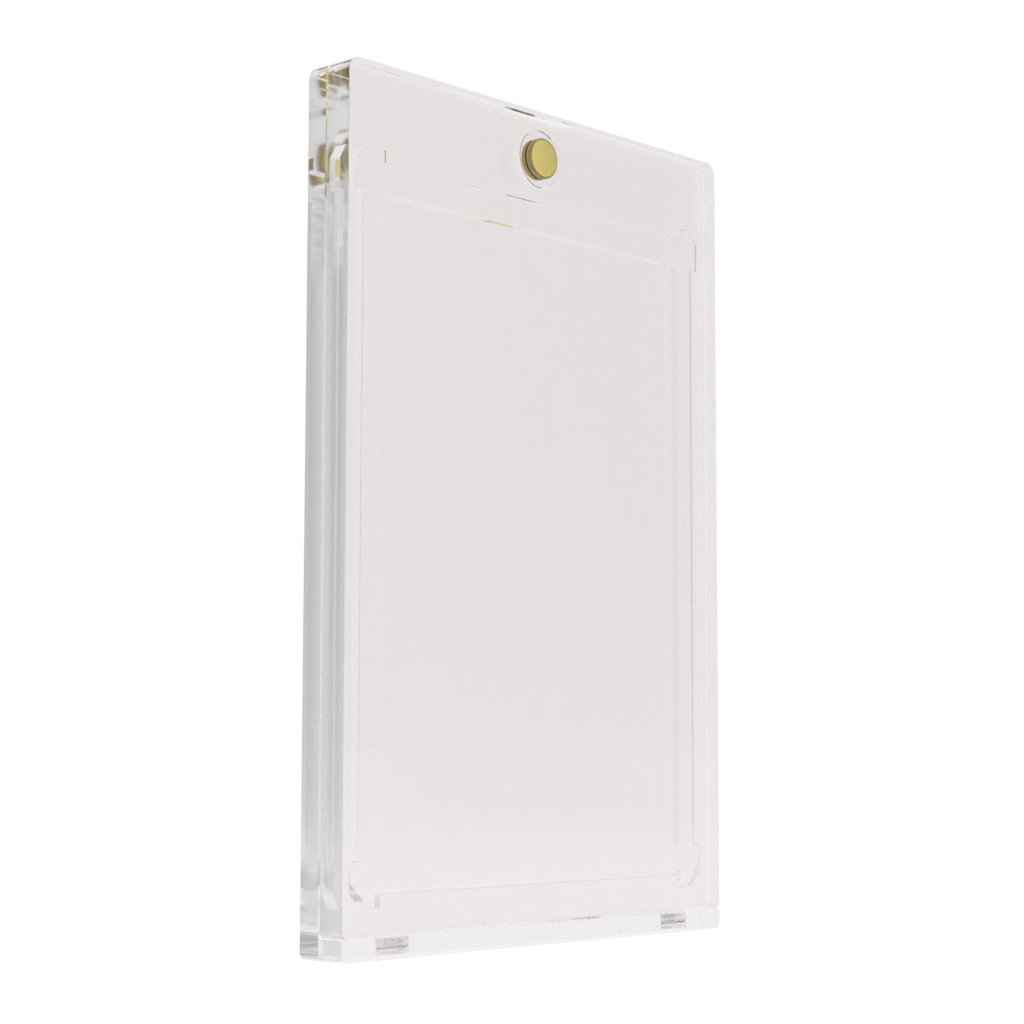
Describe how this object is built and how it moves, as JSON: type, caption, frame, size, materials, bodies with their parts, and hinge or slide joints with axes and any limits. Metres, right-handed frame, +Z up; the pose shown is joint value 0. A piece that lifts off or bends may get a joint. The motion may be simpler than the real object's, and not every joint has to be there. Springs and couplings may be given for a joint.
{
  "type": "trading card display case",
  "caption": "Clear acrylic display case for one trading card: a flat base shell with a hinged front lid, held shut by a pair of small gold magnets.",
  "frame": {"origin": "middle of the foot, where the case stands on its bottom edge", "axes": "+Z up along the long side, +X to the right seen from the front, the front faces -Y"},
  "size_m": [0.0794, 0.008, 0.1191],
  "materials": {
    "clear_acrylic": "polished, clear",
    "gold_magnet": "satin gold plating"
  },
  "bodies": {
    "base": {"base_shell": "clear_acrylic", "base_magnet_cup": "clear_acrylic", "base_magnet": "gold_magnet"},
    "lid": {"front_lid": "clear_acrylic", "lid_magnet_cup": "clear_acrylic", "lid_magnet": "gold_magnet"}
  },
  "joints": [
    {"name": "lid_hinge", "type": "hinge", "parent": "base", "child": "lid", "pos_m": [0, -0.00387, 0.00305], "axis": [1, 0, 0], "range_deg": [0, 35]}
  ]
}
